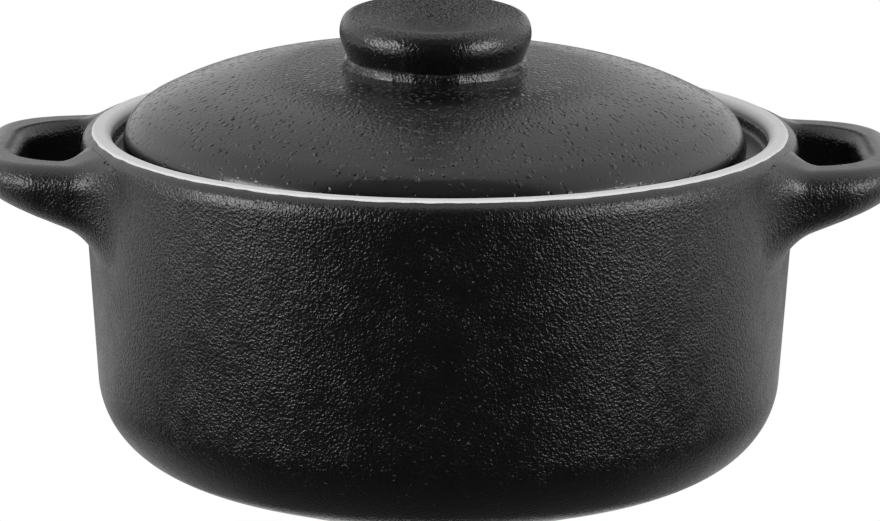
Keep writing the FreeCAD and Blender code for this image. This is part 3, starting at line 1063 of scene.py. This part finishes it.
@dataclass(frozen=True)
class Softbox:
    """Large lamp seen from the dish: bearing round from the camera, height and size."""

    name: str
    bearing: float
    elevation: float
    distance: float
    width: float
    height: float
    radiance: float
    reflected: bool = True

    def build(self, target: Vector) -> None:
        """Adds the lamp, turned to the dish.

        Args:
            target: Middle of the dish, in metres.
        """
        lamp = bpy.data.lights.new(self.name, "AREA")
        lamp.shape = "RECTANGLE"
        lamp.size, lamp.size_y = self.width, self.height
        lamp.energy = self.radiance * math.pi * self.width * self.height
        bearing, elevation = math.radians(self.bearing), math.radians(self.elevation)
        away = Vector((math.sin(bearing) * math.cos(elevation),
                       -math.cos(bearing) * math.cos(elevation), math.sin(elevation)))
        stand = placed(self.name, lamp)
        stand.visible_glossy = self.reflected
        stand.location = target + away * self.distance
        stand.rotation_mode = "QUATERNION"
        stand.rotation_quaternion = away.to_track_quat("Z", "Y")


@dataclass(frozen=True)
class Shade:
    """Card bent round the dish that only reflections show, as photographers shade a shiny piece.

    Each rim is an arc about the dish, given by its distance and height in metres, and has a level of
    brightness at each bearing, with white at 1. Bearings run from the camera's side to the back, in
    degrees, and the two sides mirror each other.
    """

    name: str
    bearings: tuple[float, ...]
    rims: tuple[tuple[float, float], ...]
    levels: tuple[tuple[float, ...], ...]
    steps: int = 120

    def build(self) -> None:
        """Adds the card, hidden from the camera and from all rays but reflections."""
        around = np.linspace(-180, 180, self.steps + 1)
        turn = np.radians(around)
        points = [(radius * math.sin(angle), -radius * math.cos(angle), height)
                  for radius, height in self.rims for angle in turn]
        row = self.steps + 1
        faces = [(low + k, low + k + 1, low + row + k + 1, low + row + k)
                 for low in range(0, row * (len(self.rims) - 1), row) for k in range(self.steps)]
        mesh = bpy.data.meshes.new(self.name)
        mesh.from_pydata(points, [], faces)
        levels = [np.interp(np.abs(around), self.bearings, rim) for rim in self.levels]
        level = mesh.attributes.new("level", "FLOAT", "POINT")
        level.data.foreach_set("value", np.concatenate(levels).astype(np.float32))
        card = placed(self.name, mesh)
        card.visible_camera = card.visible_diffuse = card.visible_shadow = card.visible_transmission = False
        material = empty_material(self.name)
        shade = add_node(material.node_tree, "Attribute", {"attribute_name": "level"})
        glow = add_node(material.node_tree, "Emission", {}, {}, {"Strength": shade.outputs["Fac"]})
        add_node(material.node_tree, "OutputMaterial", {}, {}, {"Surface": glow})
        material.cycles.emission_sampling = "NONE"
        mesh.materials.append(material)


# Height in metres of the shade over the table, just clear of it.
SHADE_LIFT = 0.0005
TABLE_SHADE = Shade(
    "table_shade", (0, 35, 47, 60, 75, 90, 105, 125, 140, 180),
    tuple((radius, SHADE_LIFT) for radius in (0.045, 0.07, 0.12, 0.18, 0.215, 0.5, 1.5)),
    ((0.10, 0.15, 0.30, 0.50, 0.80, 0.70, 0.60, 0.40, 0.20, 0.20),
     (0.02, 0.02, 0.02, 0.03, 0.10, 0.30, 0.60, 0.60, 0.30, 0.20),
     (0.02, 0.02, 0.03, 0.06, 0.20, 0.45, 0.80, 0.65, 0.30, 0.20),
     (0.02, 0.02, 0.20, 0.30, 0.45, 0.60, 0.90, 0.70, 0.30, 0.20),
     (0.02, 0.05, 1.00, 1.10, 1.10, 1.00, 1.00, 0.65, 0.20, 0.15),
     (0.02, 0.05, 1.10, 1.20, 1.10, 1.00, 1.00, 0.60, 0.15, 0.15),
     (0.02, 0.05, 0.40, 0.50, 0.50, 0.50, 0.60, 0.50, 0.30, 0.30)))
WALL_SHADE = Shade(
    "wall_shade", (0, 40, 50, 60, 90, 120, 150, 170, 175, 180),
    ((1.5, 0.0), (1.5, 0.35), (1.5, 0.57), (1.5, 0.83), (1.4, 1.4), (1.1, 1.9), (0.6, 2.3)),
    ((0.05, 0.05, 0.30, 0.60, 0.80, 0.55, 0.80, 0.95, 0.90, 0.80),
     (0.05, 0.05, 0.35, 0.75, 1.30, 1.10, 0.95, 0.80, 0.55, 0.25),
     (0.05, 0.05, 0.55, 0.95, 1.50, 1.30, 0.85, 0.75, 0.25, 0.02),
     (0.10, 0.10, 0.60, 0.95, 1.50, 1.30, 0.90, 0.85, 0.15, 0.00),
     (0.25, 0.30, 0.70, 1.00, 1.30, 1.20, 0.90, 0.90, 0.25, 0.02),
     (0.30, 0.35, 0.90, 1.00, 1.10, 1.10, 1.00, 1.00, 0.65, 0.15),
     (0.30, 0.50, 1.00, 1.00, 1.00, 1.00, 1.00, 1.00, 0.90, 0.60)))


SOFTBOXES = (
    Softbox("softbox_left", -61, 11, 1.0, 0.64, 0.42, 7.0),
    Softbox("softbox_right", 61, 11, 1.0, 0.64, 0.42, 6.0),
    Softbox("softbox_above", 0, 80, 1.2, 1.0, 1.0, 3.2, reflected=False),
)


@dataclass
class Studio:
    """White table and surroundings, soft lamps, shades for the reflections and the camera."""

    target: Vector = field(default_factory=lambda: Vector((0.00012, 0.0, 0.0326)))
    pitch: float = 13.505
    roll: float = 0.35
    distance: float = 0.6
    focal_px: float = 3750.3
    picture_width: float = 880.0
    sensor: float = 36.0
    nearest: float = 0.01
    farthest: float = 100.0
    floor_half: float = 6.0
    floor_colour: str = "#f4f4f4"
    surroundings: float = 0.06

    def build_camera(self) -> None:
        """Camera at the photograph's angle, level apart from a slight roll."""
        pitch, roll = math.radians(self.pitch), math.radians(self.roll)
        ahead = Vector((0, math.cos(pitch), -math.sin(pitch)))
        level = Vector((1, 0, 0))
        upright = level.cross(ahead)
        right = level * math.cos(roll) + upright * math.sin(roll)
        up = upright * math.cos(roll) - level * math.sin(roll)
        lens = bpy.data.cameras.new("camera")
        lens.sensor_width = self.sensor
        lens.lens = self.sensor * self.focal_px / self.picture_width
        lens.clip_start, lens.clip_end = self.nearest, self.farthest
        camera = placed("camera", lens)
        turn = Matrix((right, up, -ahead)).transposed()
        camera.matrix_world = Matrix.Translation(self.target - ahead * self.distance) @ turn.to_4x4()
        bpy.context.scene.camera = camera

    def seen(self, tree: Tree) -> Socket:
        """Tells the rays that look at the background: from the camera, a mirror or glass.

        Args:
            tree: Node tree of the floor or the world.

        Returns:
            One for such a ray and zero for others.
        """
        path = add_node(tree, "LightPath")
        either = add_node(tree, "Math", {"operation": "ADD"}, {},
                          {0: path.outputs["Is Camera Ray"], 1: path.outputs["Is Glossy Ray"]})
        both = add_node(tree, "Math", {"operation": "ADD", "use_clamp": True}, {},
                        {0: either, 1: path.outputs["Is Transmission Ray"]})
        return both.outputs[0]

    def build_floor(self) -> None:
        """Pale table, seen from above only, so that the foot can be looked at from below."""
        half = self.floor_half
        corners = [(-half, -half, 0), (half, -half, 0), (half, half, 0), (-half, half, 0)]
        mesh = bpy.data.meshes.new("floor")
        mesh.from_pydata(corners, [], [(0, 1, 2, 3)])
        floor = placed("floor", mesh)
        material = empty_material("white_table")
        tree = material.node_tree
        matt = add_node(tree, "BsdfDiffuse", {}, {"Color": linear(self.floor_colour)})
        glow = add_node(tree, "Emission", {}, {"Strength": 1.0})
        mixed = add_node(tree, "MixShader", {}, {},
                         {0: self.seen(tree), 1: matt, 2: glow})
        clear = add_node(tree, "BsdfTransparent")
        facing = add_node(tree, "NewGeometry")
        sided = add_node(tree, "MixShader", {}, {},
                         {0: facing.outputs["Backfacing"], 1: mixed, 2: clear})
        add_node(tree, "OutputMaterial", {}, {}, {"Surface": sided})
        material.cycles.emission_sampling = "NONE"
        mesh.materials.append(material)

    def build_world(self) -> None:
        """White surroundings to look at, and a soft even fill for the dish."""
        world = bpy.data.worlds.new("surroundings")
        bpy.context.scene.world = world
        world.use_nodes = True
        world.cycles.sampling_method = "NONE"
        tree = world.node_tree
        tree.nodes.clear()
        fill = add_node(tree, "Background", {}, {"Strength": self.surroundings, "Color": WHITE})
        white = add_node(tree, "Background", {}, {"Strength": 1.0, "Color": WHITE})
        mixed = add_node(tree, "MixShader", {}, {},
                         {0: self.seen(tree), 1: fill, 2: white})
        add_node(tree, "OutputWorld", {}, {}, {"Surface": mixed})

    def build(self) -> None:
        """Sets up the whole studio."""
        self.build_camera()
        self.build_floor()
        self.build_world()
        for lamp in SOFTBOXES:
            lamp.build(self.target)
        for shade in (TABLE_SHADE, WALL_SHADE):
            shade.build()
        bpy.context.scene.view_settings.view_transform = "Standard"


def main() -> None:
    """Builds the dish, its handles, its lid and the studio, in that order."""
    logging.basicConfig(level=logging.INFO, format="%(message)s")
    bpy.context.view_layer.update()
    dish = Dish()
    dish.build()
    for side in Side:
        Handle(side, dish).build()
    Lid().build()
    Studio().build()


if __name__ == "__main__":
    main()
